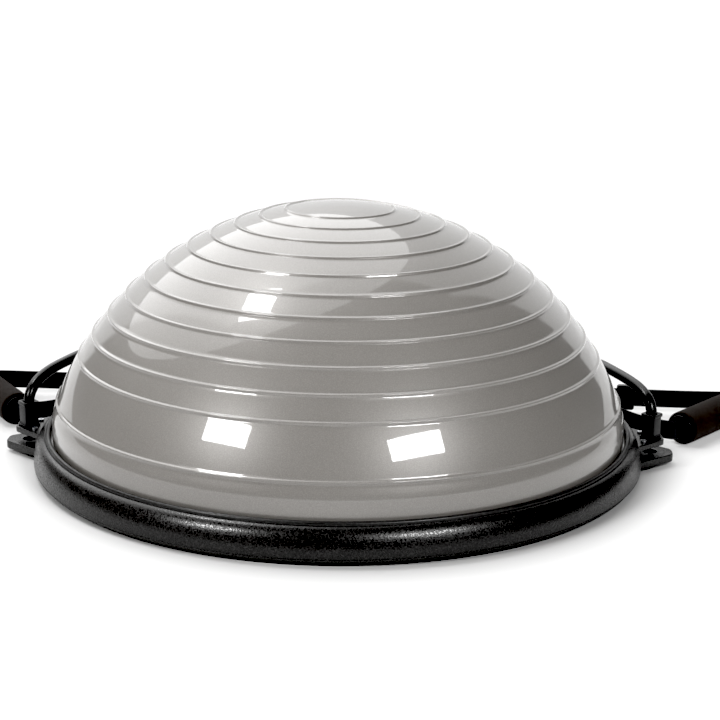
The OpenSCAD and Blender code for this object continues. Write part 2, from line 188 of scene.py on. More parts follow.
def hull(points):
    """The outline that wraps flat points, anticlockwise."""
    points = sorted(set(points))
    halves = []
    for run in (points, points[::-1]):
        half = []
        for p in run:
            while len(half) > 1 and ((half[-1][0] - half[-2][0]) * (p[1] - half[-2][1])
                                     <= (half[-1][1] - half[-2][1]) * (p[0] - half[-2][0])):
                half.pop()
            half.append(p)
        halves += half[:-1]
    return halves


def plate(bm, loops, low, high, edge, place=None):
    """A plate with rounded edges between two heights: an outline loop, then any loops for holes."""
    curve = bpy.data.curves.new("plate", "CURVE")
    curve.dimensions = "2D"
    curve.fill_mode = "BOTH"
    curve.extrude = (high - low) / 2 - edge
    curve.bevel_depth = edge
    curve.bevel_resolution = 2
    curve.offset = -edge
    for loop in loops:
        line = curve.splines.new("POLY")
        line.points.add(len(loop) - 1)
        line.use_cyclic_u = True
        for point, (x, y) in zip(line.points, loop):
            point.co = (x, y, 0, 1)
    holder = bpy.data.objects.new("plate", curve)
    bpy.context.scene.collection.objects.link(holder)
    bpy.context.view_layer.update()
    mesh = bpy.data.meshes.new_from_object(holder.evaluated_get(bpy.context.evaluated_depsgraph_get()))
    mesh.transform((place or Matrix.Identity(4)) @ Matrix.Translation((0, 0, (low + high) / 2)))
    bm.from_mesh(mesh)
    bpy.data.objects.remove(holder)
    bpy.data.curves.remove(curve)
    bpy.data.meshes.remove(mesh)


# ---------------------------------------------------------------- materials


def socket(tree, target, value):
    if isinstance(value, bpy.types.NodeSocket):
        tree.links.new(value, target)
    elif isinstance(value, tuple) and len(value) == 3 and target.type == "RGBA":
        target.default_value = (*value, 1)
    else:
        target.default_value = value


def add(tree, kind, inputs=None, **settings):
    node = tree.nodes.new(kind)
    for key, value in settings.items():
        setattr(node, key, value)
    for key, value in (inputs or {}).items():
        socket(tree, node.inputs[key], value)
    return node


def start_material(name, **values):
    material = bpy.data.materials.new(name)
    material.use_nodes = True
    tree = material.node_tree
    shader = tree.nodes["Principled BSDF"]
    for key, value in values.items():
        socket(tree, shader.inputs[key.replace("_", " ")], value)
    return material, tree, shader


def place_of(tree, kind="Object"):
    return add(tree, "ShaderNodeTexCoord").outputs[kind]


def noise(tree, where, scale, detail=2.0, rough=0.5):
    inputs = {"Vector": where, "Scale": scale, "Detail": detail, "Roughness": rough}
    return add(tree, "ShaderNodeTexNoise", inputs).outputs["Fac"]


def remap(tree, value, low, high, to_low, to_high):
    inputs = {"Value": value, "From Min": low, "From Max": high, "To Min": to_low, "To Max": to_high}
    return add(tree, "ShaderNodeMapRange", inputs).outputs["Result"]


def maths(tree, operation, a, b=0.0):
    return add(tree, "ShaderNodeMath", {0: a, 1: b}, operation=operation).outputs[0]


def mixed(tree, factor, one, two):
    node = add(tree, "ShaderNodeMix", data_type="RGBA")
    socket(tree, node.inputs["Factor"], factor)
    socket(tree, node.inputs[6], one)
    socket(tree, node.inputs[7], two)
    return node.outputs[2]


def bump(tree, height, distance, strength=1.0, below=None):
    inputs = {"Height": height, "Distance": distance, "Strength": strength}
    if below:
        inputs["Normal"] = below
    return add(tree, "ShaderNodeBump", inputs).outputs["Normal"]


def dome_vinyl():
    """Pearly grey vinyl under a glossy skin that is very slightly wavy."""
    material, tree, shader = start_material(
        "dome_vinyl", Metallic=0.12, Coat_Weight=1.0, Coat_Roughness=0.035, Coat_IOR=1.5
    )
    where = place_of(tree)
    patch = noise(tree, where, 6, 3)
    flake = noise(tree, where, 1400, 1)
    shade = mixed(tree, remap(tree, patch, 0.3, 0.7, 0, 1), (0.165, 0.157, 0.147), (0.182, 0.174, 0.163))
    tint = mixed(tree, remap(tree, flake, 0.42, 0.66, 0, 0.35), shade, (0.29, 0.279, 0.264))
    socket(tree, shader.inputs["Base Color"], tint)
    socket(tree, shader.inputs["Roughness"], remap(tree, patch, 0.3, 0.7, 0.36, 0.42))
    socket(tree, shader.inputs["Normal"], bump(tree, flake, 0.00004, 0.6))
    wave = noise(tree, where, 22, 2)
    socket(tree, shader.inputs["Coat Normal"], bump(tree, wave, 0.0002, 0.15))
    return material


def pebbled_plastic(name, colour, grain, depth, smooth_above):
    """Black moulding with a spark-eroded pebble texture, and lighter specks in its colour that are
    painted sparkle. Above a height it is smooth and duller.
    """
    material, tree, shader = start_material(name, Specular_IOR_Level=0.5)
    where = place_of(tree)
    pebbles = {"Vector": where, "Scale": grain}
    cells = add(tree, "ShaderNodeTexVoronoi", pebbles, feature="SMOOTH_F1").outputs["Distance"]
    grit = noise(tree, where, grain * 1.7, 2)
    height = maths(tree, "ADD", cells, maths(tree, "MULTIPLY", grit, 0.25))
    patch = noise(tree, where, 9, 4)
    # painted sparkle: lighter specks mixed into the base colour stand in for glints off the pebbles
    painted_sparkle = remap(tree, noise(tree, where, grain * 0.9, 1), 0.5, 0.68, 0, 0.8)
    light = tuple(c * 4 + 0.013 for c in colour)
    socket(tree, shader.inputs["Base Color"], mixed(tree, painted_sparkle, colour, light))
    glint = remap(tree, noise(tree, where, grain * 1.1, 1), 0.4, 0.62, 0.2, -0.02)
    rough = maths(tree, "ADD", glint, remap(tree, patch, 0.3, 0.7, 0.2, 0.24))
    level = add(tree, "ShaderNodeSeparateXYZ", {"Vector": where}).outputs["Z"]
    smooth = remap(tree, level, smooth_above, smooth_above + 0.001, 0, 1)
    rough = maths(tree, "ADD", rough, maths(tree, "MULTIPLY", smooth, 0.12))
    amount = remap(tree, smooth, 0, 1, 1, 0.12)
    socket(tree, shader.inputs["Roughness"], rough)
    socket(tree, shader.inputs["Normal"], bump(tree, height, depth, amount))
    return material


def satin_plastic(name, colour, rough):
    """Fine matt moulding, with a soft mottle and light scuffs."""
    material, tree, shader = start_material(name, Specular_IOR_Level=0.28)
    where = place_of(tree)
    mottle = noise(tree, where, 60, 4)
    scuff = remap(tree, noise(tree, where, 260, 5, 0.7), 0.58, 0.72, 0, 1)
    worn = tuple(c * 2 + 0.008 for c in colour)
    tint = mixed(tree, maths(tree, "MULTIPLY", scuff, 0.25), colour, worn)
    socket(tree, shader.inputs["Base Color"], tint)
    socket(tree, shader.inputs["Roughness"], remap(tree, mottle, 0.3, 0.7, rough - 0.05, rough + 0.07))
    socket(tree, shader.inputs["Normal"], bump(tree, noise(tree, where, 1800, 2), 0.00006, 0.7))
    return material


def tube_rubber():
    """Black latex tube: smooth, with a faint chalky bloom and drawing lines."""
    material, tree, shader = start_material("tube_rubber", Specular_IOR_Level=0.4)
    where = place_of(tree)
    bloom = remap(tree, noise(tree, where, 45, 5, 0.65), 0.5, 0.75, 0, 0.5)
    tint = mixed(tree, bloom, (0.003, 0.003, 0.0032), (0.011, 0.011, 0.0115))
    socket(tree, shader.inputs["Base Color"], tint)
    socket(tree, shader.inputs["Roughness"], remap(tree, bloom, 0, 0.5, 0.24, 0.36))
    socket(tree, shader.inputs["Normal"], bump(tree, noise(tree, where, 900, 2), 0.00008, 0.6))
    return material


def moulded_rubber(name, colour):
    """Matt rubber with dust in its fine grain."""
    material, tree, shader = start_material(name, IOR=1.5)
    where = place_of(tree)
    dust = remap(tree, noise(tree, where, 120, 5, 0.7), 0.5, 0.72, 0, 0.4)
    socket(tree, shader.inputs["Base Color"], mixed(tree, dust, colour, (0.09, 0.088, 0.084)))
    socket(tree, shader.inputs["Roughness"], remap(tree, dust, 0, 0.4, 0.6, 0.85))
    socket(tree, shader.inputs["Normal"], bump(tree, noise(tree, where, 1500, 3), 0.0001, 0.7))
    return material


def webbing_weave():
    """Nylon webbing. U runs along it and V across: a herringbone rib with a fine fibre in it, with
    painted shade darkening the weave's hollows.
    """
    material, tree, shader = start_material(
        "webbing_weave", Specular_IOR_Level=0.2, Sheen_Weight=0.04, Sheen_Roughness=0.4
    )
    where = place_of(tree, "UV")
    parts = add(tree, "ShaderNodeSeparateXYZ", {"Vector": where})
    along, across = parts.outputs["X"], parts.outputs["Y"]
    lane = maths(tree, "PINGPONG", maths(tree, "MULTIPLY", across, 400), 1.0)
    twill = maths(tree, "ADD", maths(tree, "MULTIPLY", along, 900), maths(tree, "MULTIPLY", lane, 1.4))
    rib = maths(tree, "PINGPONG", twill, 1.0)
    cord = maths(tree, "PINGPONG", maths(tree, "MULTIPLY", across, 800), 1.0)
    weave = maths(tree, "ADD", rib, maths(tree, "MULTIPLY", cord, 0.5))
    stretched = add(tree, "ShaderNodeMapping", {"Vector": where, "Scale": (600, 4000, 1)})
    fibre = noise(tree, stretched.outputs[0], 1, 3)
    height = maths(tree, "ADD", weave, maths(tree, "MULTIPLY", fibre, 0.4))
    worn = remap(tree, noise(tree, place_of(tree), 30, 4), 0.35, 0.7, 0, 0.35)
    # painted shade: the weave's low places get the darker colour and its raised ribs the lighter one
    dark = mixed(tree, remap(tree, weave, 0.1, 1.4, 0, 1), (0.008, 0.008, 0.0085), (0.024, 0.024, 0.026))
    socket(tree, shader.inputs["Base Color"], mixed(tree, worn, dark, (0.036, 0.036, 0.038)))
    socket(tree, shader.inputs["Roughness"], remap(tree, fibre, 0.3, 0.7, 0.55, 0.75))
    socket(tree, shader.inputs["Normal"], bump(tree, height, 0.00025, 0.8))
    return material


def foam_rubber():
    """Closed-cell foam: matt, brown-black, with open pores on its ground surface whose insides are
    darkened with painted shade.
    """
    material, tree, shader = start_material(
        "foam_rubber", Specular_IOR_Level=0.12, Sheen_Weight=0.02, Sheen_Roughness=0.6
    )
    where = place_of(tree)
    pores = add(tree, "ShaderNodeTexVoronoi", {"Vector": where, "Scale": 900.0}).outputs["Distance"]
    fine = noise(tree, where, 2200, 3)
    patch = noise(tree, where, 50, 4)
    height = maths(tree, "ADD", pores, maths(tree, "MULTIPLY", fine, 0.6))
    # painted shade: the colour darkens towards the bottom of each pore
    depth = remap(tree, pores, 0.1, 0.6, 0, 1)
    shade = mixed(tree, depth, (0.007, 0.0058, 0.0052), (0.023, 0.0192, 0.0174))
    tint = mixed(tree, remap(tree, patch, 0.4, 0.7, 0, 0.4), shade, (0.03, 0.0256, 0.0232))
    socket(tree, shader.inputs["Base Color"], tint)
    socket(tree, shader.inputs["Roughness"], remap(tree, patch, 0.3, 0.7, 0.78, 0.9))
    socket(tree, shader.inputs["Normal"], bump(tree, height, 0.0003, 0.9))
    return material


def plated_steel(name, colour, rough):
    """Plated steel with a fine drawn grain."""
    material, tree, shader = start_material(name, Metallic=1.0)
    where = place_of(tree)
    grain = noise(tree, where, 500, 4, 0.7)
    dark = tuple(c * 0.75 for c in colour)
    tint = mixed(tree, remap(tree, grain, 0.35, 0.7, 0, 1), colour, dark)
    socket(tree, shader.inputs["Base Color"], tint)
    socket(tree, shader.inputs["Roughness"], remap(tree, grain, 0.3, 0.7, rough, rough + 0.15))
    socket(tree, shader.inputs["Normal"], bump(tree, grain, 0.00003, 0.6))
    return material


LIP_STARTS = 0.0342

MATERIALS = {
    "dome_vinyl": dome_vinyl(),
    "soft_vinyl": satin_plastic("soft_vinyl", (0.34, 0.335, 0.32), 0.42),
    "base_plastic": pebbled_plastic("base_plastic", (0.0022, 0.002, 0.0019), 620.0, 0.0001, LIP_STARTS),
    "clip_plastic": satin_plastic("clip_plastic", (0.006, 0.006, 0.0063), 0.3),
    "hidden_plastic": satin_plastic("hidden_plastic", (0.03, 0.03, 0.031), 0.5),
    "foot_rubber": moulded_rubber("foot_rubber", (0.02, 0.02, 0.02)),
    "tube_rubber": tube_rubber(),
    "ring_steel": plated_steel("ring_steel", (0.05, 0.05, 0.055), 0.32),
    "screw_steel": plated_steel("screw_steel", (0.56, 0.57, 0.59), 0.28),
    "webbing": webbing_weave(),
    "foam": foam_rubber(),
}


def finish_piece(piece, slot, body=None, replaced=()):
    """Gives a new piece its material, its body and the CAD nodes that it stands for."""
    piece.data.materials.clear()
    piece.data.materials.append(MATERIALS[slot])
    if body:
        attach(piece, body)
    if replaced:
        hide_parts(*replaced)
    return piece


for part in frame["record"]["subparts"]:
    cad = frame["nodes"][part["node"]]
    cad.data.materials.clear()
    cad.data.materials.append(MATERIALS[part["material_slot"]])

# ---------------------------------------------------------------- camera, floor and light

CAMERA_AT = Vector((0.0722, -1.6995, 0.5635))
YAW, PITCH, ROLL = (math.radians(a) for a in (-1.71, 15.14, 0.66))
SENSOR_WIDTH, LENS_PER_WIDTH = 36, 2.3967
BACKDROP_EDGES = ((-0.33, 1.0, -0.3), (-1.0, 0.73, 0.25), (1.0, 0.76, 0.6))
EDGE_BLUR = 0.015


def make_camera():
    level_part = math.cos(PITCH)
    forward = Vector((math.sin(YAW) * level_part, math.cos(YAW) * level_part, -math.sin(PITCH)))
    level = Vector((math.cos(YAW), -math.sin(YAW), 0))
    above = level.cross(forward)
    right = level * math.cos(ROLL) + above * math.sin(ROLL)
    up = above * math.cos(ROLL) - level * math.sin(ROLL)
    camera = bpy.data.objects.new("camera", bpy.data.cameras.new("camera"))
    camera.data.sensor_width = SENSOR_WIDTH
    camera.data.lens = SENSOR_WIDTH * LENS_PER_WIDTH
    turn = Matrix((right, up, -forward)).transposed().to_4x4()
    camera.matrix_world = Matrix.Translation(CAMERA_AT) @ turn
    bpy.context.scene.collection.objects.link(camera)
    bpy.context.scene.camera = camera


def softbox(name, seen_from, towards, away, width, height, roll, watts):
    """A rectangular light in a direction from the point of the dome that mirrors it to the camera."""
    light = bpy.data.objects.new(name, bpy.data.lights.new(name, "AREA"))
    light.data.shape = "RECTANGLE"
    light.data.size = width
    light.data.size_y = height
    light.data.energy = watts
    origin = Vector(seen_from)
    place = origin + Vector(towards).normalized() * away
    aim = (origin - place).to_track_quat("-Z", "Y").to_matrix().to_4x4()
    light.matrix_world = Matrix.Translation(place) @ aim @ Matrix.Rotation(math.radians(roll), 4, "Z")
    bpy.context.scene.collection.objects.link(light)


def make_world():
    """A white backdrop with three straight edges, in a grey room that is darker to the right."""
    world = bpy.data.worlds.new("studio")
    world.use_nodes = True
    tree = world.node_tree
    direction = add(tree, "ShaderNodeTexCoord").outputs["Generated"]
    amount = 1.0
    for edge in BACKDROP_EDGES:
        across = {0: direction, 1: Vector(edge).normalized()}
        inside = add(tree, "ShaderNodeVectorMath", across, operation="DOT_PRODUCT").outputs["Value"]
        amount = maths(tree, "MINIMUM", amount, remap(tree, inside, -EDGE_BLUR, EDGE_BLUR, 0, 1))
    sideways = add(tree, "ShaderNodeSeparateXYZ", {"Vector": direction}).outputs["X"]
    room = mixed(tree, remap(tree, sideways, -0.7, 0.7, 0, 1), (0.17, 0.163, 0.156), (0.02, 0.019, 0.018))
    tone = mixed(tree, amount, room, (1.0, 1.0, 1.0))
    socket(tree, tree.nodes["Background"].inputs["Color"], tone)
    bpy.context.scene.world = world


def make_floor():
    """A pale floor whose emission paints a darker ring round the object as a contact shadow, and a glow
    that brightens away from it like a studio sweep.
    """
    bm = bmesh.new()
    bmesh.ops.create_grid(bm, x_segments=1, y_segments=1, size=30)
    floor = new_object("floor", bm, smooth=False)
    material, tree, shader = start_material("floor_painted_light", Base_Color=(0.6, 0.6, 0.6), Roughness=0.9)
    socket(tree, shader.inputs["Specular IOR Level"], 0.1)
    away = add(tree, "ShaderNodeVectorMath", {0: place_of(tree)}, operation="LENGTH").outputs["Value"]
    # painted light: the emission is lowest in a ring round the object as a painted contact shadow and
    # grows with distance as a painted glow
    painted_contact_shadow = remap(tree, away, 0.318, 0.36, -0.05, 0.24)
    painted_floor_glow = maths(tree, "ADD", painted_contact_shadow, remap(tree, away, 0.35, 3.5, 0, 0.35))
    grey = {"Red": painted_floor_glow, "Green": painted_floor_glow, "Blue": painted_floor_glow}
    white = add(tree, "ShaderNodeCombineColor", grey).outputs["Color"]
    socket(tree, shader.inputs["Emission Color"], white)
    socket(tree, shader.inputs["Emission Strength"], 1.0)
    floor.data.materials.append(material)


def make_lights():
    softbox("left_softbox", (-0.087, -0.253, 0.103), (-0.619, -0.54, 0.57), 2.4, 0.76, 0.35, 10, 34)
    softbox("right_softbox", (0.079, -0.259, 0.097), (0.495, -0.655, 0.571), 2.4, 0.89, 0.35, -3, 42)
    softbox("top_softbox", (-0.068, -0.179, 0.195), (-0.395, 0.165, 0.904), 2.0, 0.5, 0.35, 0, 12)
    sun = bpy.data.objects.new("overhead", bpy.data.lights.new("overhead", "SUN"))
    sun.data.energy = 1.9
    sun.data.angle = math.radians(70)
    sun.matrix_world = Vector((-0.35, 0.5, 0.8)).to_track_quat("Z", "Y").to_matrix().to_4x4()
    bpy.context.scene.collection.objects.link(sun)


make_camera()
make_world()
make_floor()
make_lights()


def set_tone():
    """A plain view transform, with the deepest blacks pressed down as on a printed product picture."""
    view = bpy.context.scene.view_settings
    view.view_transform = "Standard"
    view.use_curve_mapping = True
    view.curve_mapping.black_level = (0.03, 0.03, 0.03)
    view.curve_mapping.update()


set_tone()

# ---------------------------------------------------------------- dome

CROWN_H, CROWN_R, SIDE_R, HIP_R = 0.2645, 0.298, 0.313, 0.031
CROWN_ARC, SIDE_ARC = 0.100, 0.276
SKIN, SKIN_STEP = 0.003, 0.003
POLE_R = 0.0004
FIRST_RIB, RIB_PITCH, RIB_W, RIB_H = 0.0546, 0.026, 0.0032, 0.0013
RIBS = [k for k in range(13) if k != 11]
BEAD = (0.030, 0.026)


def dome_point(run, inset=0.0):
    """The dome's section after a distance along the skin from the crown, some way inside its face."""
    turn = min(run, CROWN_ARC) / CROWN_R
    centre = Vector((0, CROWN_H - CROWN_R))
    radius = CROWN_R
    for limit, length, next_radius in ((CROWN_ARC, SIDE_ARC, SIDE_R), (CROWN_ARC + SIDE_ARC, 1.0, HIP_R)):
        if run > limit:
            centre += (radius - next_radius) * Vector((math.sin(turn), math.cos(turn)))
            radius = next_radius
            turn += min(run - limit, length) / radius
    return centre + (radius - inset) * Vector((math.sin(turn), math.cos(turn)))


def dome_end():
    return CROWN_ARC + SIDE_ARC + HIP_R * (math.pi / 2 - CROWN_ARC / CROWN_R - SIDE_ARC / SIDE_R)


def make_dome():
    """The ribbed skin: each rib is a low round bead with a fillet at its foot."""
    runs = [SKIN_STEP * i for i in range(1, round(dome_end() / SKIN_STEP))]
    heights = {}
    for k in RIBS:
        middle = FIRST_RIB + k * RIB_PITCH
        runs = [r for r in runs if abs(r - middle) > 0.8 * RIB_W]
        for i in range(-8, 9):
            run = middle + i / 8 * 0.72 * RIB_W
            heights[run] = RIB_H * (0.5 + 0.5 * math.cos(math.pi * i / 8)) ** 0.8
    outer = [dome_point(r, -heights.get(r, 0)) for r in sorted(runs + list(heights))]
    edge = dome_point(dome_end())[0]
    high, low = BEAD
    flange = [(edge, high), (edge + SKIN, high), (edge + SKIN, low), (edge - SKIN, low)]
    inner = [dome_point(dome_end() * (1 - i / 40), SKIN) for i in range(40)]
    bm = bmesh.new()
    profile = [(POLE_R, CROWN_H)] + [tuple(q) for q in outer] + flange + [tuple(q) for q in inner]
    profile += [(POLE_R, CROWN_H - SKIN)]
    revolve(bm, profile, 320, closed=False)
    for level in (CROWN_H, CROWN_H - SKIN):
        inmost = [v for v in bm.verts if math.hypot(v.co.x, v.co.y) < POLE_R * 1.25]
        ends = [v for v in inmost if abs(v.co.z - level) < 1e-6]
        bmesh.ops.contextual_create(bm, geom=ends)
    finish_piece(sharpen(new_object("ribbed_dome", bm), 40), "dome_vinyl", "base", ["dome_skin"])


make_dome()

# ---------------------------------------------------------------- platform

LIP_IN, LIP_OUT, LIP_H, LIP_FOOT = 0.2925, 0.2975, 0.038, 0.030
RIM_R, FACE_IN, STEP_Z, FACE_LOW = 0.310, 0.296, 0.0348, 0.009
RIM_FOOT, RIM_WALL = 0.0058, 0.003
EAR_FROM, EAR_TOP, EAR_T, LOW_EAR_Z = 0.300, 0.027, 0.006, (0.004, 0.0125)
UPPER_EAR = {"root": 0.036, "tip": 0.009, "end": 0.334, "corner": 0.006, "inner": 0.3035}
LOWER_EAR = {"root": 0.040, "tip": 0.013, "end": 0.344, "corner": 0.009, "inner": 0.3068}
SWIVEL_HOLE_R, ACCESS_HOLE_R = 0.0051, 0.007
BOSSES, BOSS_AT, BOSS_R, PILOT_R, BOSS_Z = 12, 0.2975, 0.004, 0.0015, (0.006, 0.031)
CLIP_X = 0.321


def rim_face(turn, inset=0.0):
    return (FACE_IN + (RIM_R - FACE_IN - inset) * math.sin(math.radians(turn)),
            FACE_LOW + (STEP_Z - FACE_LOW - inset) * math.cos(math.radians(turn)))


def rim_section():
    """Lip, the thin groove outside it, the bulging face, and the turned-in foot with its parting line."""
    lip = arc(((LIP_IN + LIP_OUT) / 2, LIP_H - 0.0025), 0.0025, 180, 0, 14)
    groove = [(LIP_OUT, 0.0344), (LIP_OUT + 0.0002, 0.0339), (LIP_OUT + 0.0006, 0.0339)]
    face = [rim_face(12 + 78 * i / 26) for i in range(27)]
    parting = [(RIM_R, 0.0085), (RIM_R - 0.0006, 0.0081)]
    parting += [(RIM_R - 0.0006, 0.0076), (RIM_R - 0.0002, 0.0072)]
    foot = [(RIM_R - 0.0005, 0.0068), (RIM_R - 0.0013, 0.0061), (RIM_R - 0.0025, RIM_FOOT)]
    inside = [(RIM_R - 0.0055, RIM_FOOT)] + [rim_face(90 - 78 * i / 12, RIM_WALL) for i in range(12)]
    return [(LIP_IN, LIP_FOOT)] + lip + groove + face + parting + foot + inside + [(LIP_OUT, LIP_FOOT)]


def ear_outline(root, tip, end, corner, inner):
    """Outline of one ear plate on the right-hand side, its inner edge cut to the rim's curve."""
    tips = [q for y in (-1, 1) for q in circle(corner, 28, (end - corner, y * (tip - corner)))]
    wrap = hull([(EAR_FROM, -root), (EAR_FROM, root)] + tips)
    angle = math.degrees(math.asin(root / inner))
    side = [q for q in wrap if q[0] > EAR_FROM + 0.0005]
    return side + arc((0, 0), inner, angle, -angle, 16)


def make_rim():
    """The platform's moulding: rim, bosses for the plate's screws, and an ear of two plates a side."""
    bm = bmesh.new()
    revolve(bm, rim_section(), 320)
    boss = [circle(BOSS_R, 20, (BOSS_AT, 0)), circle(PILOT_R, 12, (BOSS_AT, 0))[::-1]]
    for i in range(BOSSES):
        place = Matrix.Rotation(math.radians(360 / BOSSES * (i + 0.5)), 4, "Z")
        plate(bm, boss, *BOSS_Z, 0.0002, place)
    for side in SIDES.values():
        mirror = Matrix.Diagonal((side, 1, 1, 1))
        swivel_hole = circle(SWIVEL_HOLE_R, 28, (CLIP_X, 0))[::-1]
        access_hole = circle(ACCESS_HOLE_R, 28, (CLIP_X, 0))[::-1]
        upper, lower = ear_outline(**UPPER_EAR), ear_outline(**LOWER_EAR)
        plate(bm, [upper, swivel_hole], EAR_TOP - EAR_T, EAR_TOP, 0.0009, mirror)
        plate(bm, [lower, access_hole], *LOW_EAR_Z, 0.0012, mirror)
    finish_piece(sharpen(new_object("platform_rim", bm), 24), "base_plastic", "base", ["base_rim"])


make_rim()

# ---------------------------------------------------------------- clips

BLOCK_W, BLOCK_TOP, BLOCK_TURN = 0.015, 0.053, 40
BORE_R, MOUTH_R, STEM_R = 0.00575, 0.0066, 0.005
COLLAR_H, BORE_FLOOR = 0.0034, 0.003


def make_clip(name, side):
    """The upright block that holds the tube: a stepped foot, the body, a collar and the swivel stem."""
    bm = bmesh.new()
    centre = (side * CLIP_X, 0)
    turn = -side * BLOCK_TURN
    bore = circle(BORE_R, 32, centre)[::-1]

    def block(width, corner, low, high, edge, hole=bore):
        outline = turned(rounded_rectangle(width, width, corner), turn, centre)
        plate(bm, [outline, hole], low, high, edge)

    block(BLOCK_W + 0.003, 0.0028, EAR_TOP + 0.0003, EAR_TOP + 0.0025, 0.0006)
    block(BLOCK_W + 0.001, 0.0024, EAR_TOP + 0.0022, EAR_TOP + 0.0042, 0.0007)
    block(BLOCK_W, 0.0022, EAR_TOP + 0.001, BLOCK_TOP - 0.0005, 0.0003)
    mouth = circle(MOUTH_R, 32, centre)[::-1]
    block(BLOCK_W + 0.002, 0.0026, BLOCK_TOP - COLLAR_H, BLOCK_TOP, 0.0007, mouth)
    place = Matrix.Translation((centre[0], 0, 0))
    floor_z, low, high = EAR_TOP + BORE_FLOOR, EAR_TOP - EAR_T, EAR_TOP + 0.001
    stem = [(AXIS_R, low), (STEM_R, low), (STEM_R, high), (AXIS_R, high)]
    revolve(bm, stem, 32, closed=False, place=place)
    revolve(bm, [(AXIS_R, floor_z), (BORE_R, floor_z)], 32, closed=False, place=place)
    piece = sharpen(new_object(f"tube_clip_{name}", bm), 24)
    finish_piece(piece, "clip_plastic", f"clip_{name}", [f"clip_{name}"])


for name, side in SIDES.items():
    make_clip(name, side)

# ---------------------------------------------------------------- resistance tubes

TUBE_D = 11 * MM
ROUTES = {
    "right": [
        (321, 0, 34), (321, 0, 41), (321, 0, 49), (320, 2, 58), (317.5, 7, 65.5), (314, 14.5, 70),
        (309, 25, 73.5), (303.5, 36, 75.5), (297, 49, 77), (289, 66, 78), (279, 88, 78.5),
        (268, 112, 77.5), (257, 138, 73), (244, 168, 64.5), (229, 198, 53), (212, 228, 39),
        (195, 256, 25), (177, 283, 13), (161, 309, 7), (153, 334, 6), (157, 360, 6),
        (174, 379, 6), (197, 385, 6), (219, 375, 6), (232, 353, 6), (234, 326, 7.5),
        (230, 298, 11), (228, 271, 14.5), (233, 247, 17), (242.6, 224.8, 18), (251.1, 206.6, 18),
    ],
    "left": [
        (-321, 0, 34), (-321, 0, 41), (-321, 0, 49), (-320, 2, 58), (-317.5, 7, 65.5),
        (-314, 14.5, 71), (-309, 25, 75), (-303, 36, 78), (-296, 49, 80), (-287, 67, 81.5),
        (-278, 87, 82), (-267, 112, 80.5), (-255.5, 138, 75.5), (-242.5, 168, 66.5), (-227, 198, 54.5),
        (-211, 228, 40), (-194, 256, 26), (-176, 283, 14), (-160, 309, 7), (-150, 334, 6),
        (-152, 360, 6), (-167, 380, 6), (-190, 388, 6), (-212, 379, 6), (-226, 358, 6),
        (-229, 332, 7.5), (-224, 305, 11), (-221, 280, 15), (-225.5, 257, 17.5),
        (-234.7, 238.8, 18), (-243.1, 220.6, 18),
    ],
}


def make_tube(side):
    """The tube along its route, which stretches between its clip and the handle's ring."""
    path = spline([Vector(p) * MM for p in ROUTES[side]], 5)
    bm = bmesh.new()
    sweep(bm, path, circle(TUBE_D / 2, 20))
    tube = finish_piece(new_object(f"resistance_tube_{side}", bm), "tube_rubber", None, [f"tube_{side}"])
    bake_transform(tube)


for side in SIDES:
    make_tube(side)

# ---------------------------------------------------------------- handles

GRIP_Z = 0.018
GRIP_L = 0.126
BEND_R, MOUTH_GAP = 0.008, 0.002
FOLD_R = 0.0033
WEB_W, WEB_T = 0.020, 0.002
HANDLES = {
    "right": {
        "turn": 1, "ring": (264, 179), "cap_heading": 115, "grip": (360, 60), "grip_heading": 51.3,
        "near_in": -25, "far_out": 178, "fold_near": 204, "fold_far": 85,
        "near_leg": [(272, 160), (283, 137), (296, 112), (310, 89), (322, 74), (335, 63.5)],
        "far_leg": [(420, 173), (400, 173), (375, 173.4), (350, 174.8), (316, 177.8), (290, 180)],
    },
    "left": {
        "turn": -1, "ring": (-256, 193), "cap_heading": 65, "grip": (-351, 81), "grip_heading": 122,
        "near_in": 202.6, "far_out": 3, "fold_near": -23, "fold_far": 87,
        "near_leg": [(-268, 165), (-281, 139), (-294, 116), (-305, 99), (-316, 87.5), (-328, 81)],
        "far_leg": [(-396, 203.3), (-370, 202.3), (-345, 201), (-308, 199), (-280, 197.6)],
    },
}


def flat(points):
    return [Vector((x, y)) for x, y in points]


def web_path(h):
    """Once round the loop of webbing: out along the near leg, through the grip and back to the ring."""
    ring, grip = Vector(h["ring"]) * MM, Vector(h["grip"]) * MM
    along = heading(h["grip_heading"])
    inward = h["turn"] * Vector((-along.y, along.x))
    quarter = 90 * h["turn"]
    near_centre = grip - MOUTH_GAP * along + BEND_R * inward
    far_centre = grip + (GRIP_L + MOUTH_GAP) * along + BEND_R * inward
    near_bend = flat(arc(near_centre, BEND_R, h["near_in"] - quarter, h["grip_heading"] - quarter, 10))
    far_bend = flat(arc(far_centre, BEND_R, h["grip_heading"] - quarter, h["far_out"] - quarter, 12))
    fold = flat(arc(ring, FOLD_R, h["fold_far"], h["fold_near"], 12))
    near = [Vector(q) * MM for q in h["near_leg"]]
    far = [Vector(q) * MM for q in h["far_leg"]]
    out = spline([fold[-1]] + near + [near_bend[0]], 4)[1:-1]
    through = [grip + GRIP_L * t / 12 * along for t in range(13)]
    back = spline([far_bend[-1]] + far + [fold[0]], 4)[1:-1]
    loop = out + near_bend + through + far_bend + back + fold
    return [q.to_3d() + Vector((0, 0, GRIP_Z)) for q in loop]


def make_strap(name, h):
    """The webbing on edge, as one endless loop through the ring and the grip."""
    path = web_path(h)
    bm = bmesh.new()
    sweep(bm, path, rounded_rectangle(WEB_T, WEB_W, 0.0008, steps=3), closed=True, upright=(0, 0, 1))
    finish_piece(new_object(f"web_loop_{name}", bm), "webbing", f"handle_{name}", [f"strap_{name}"])


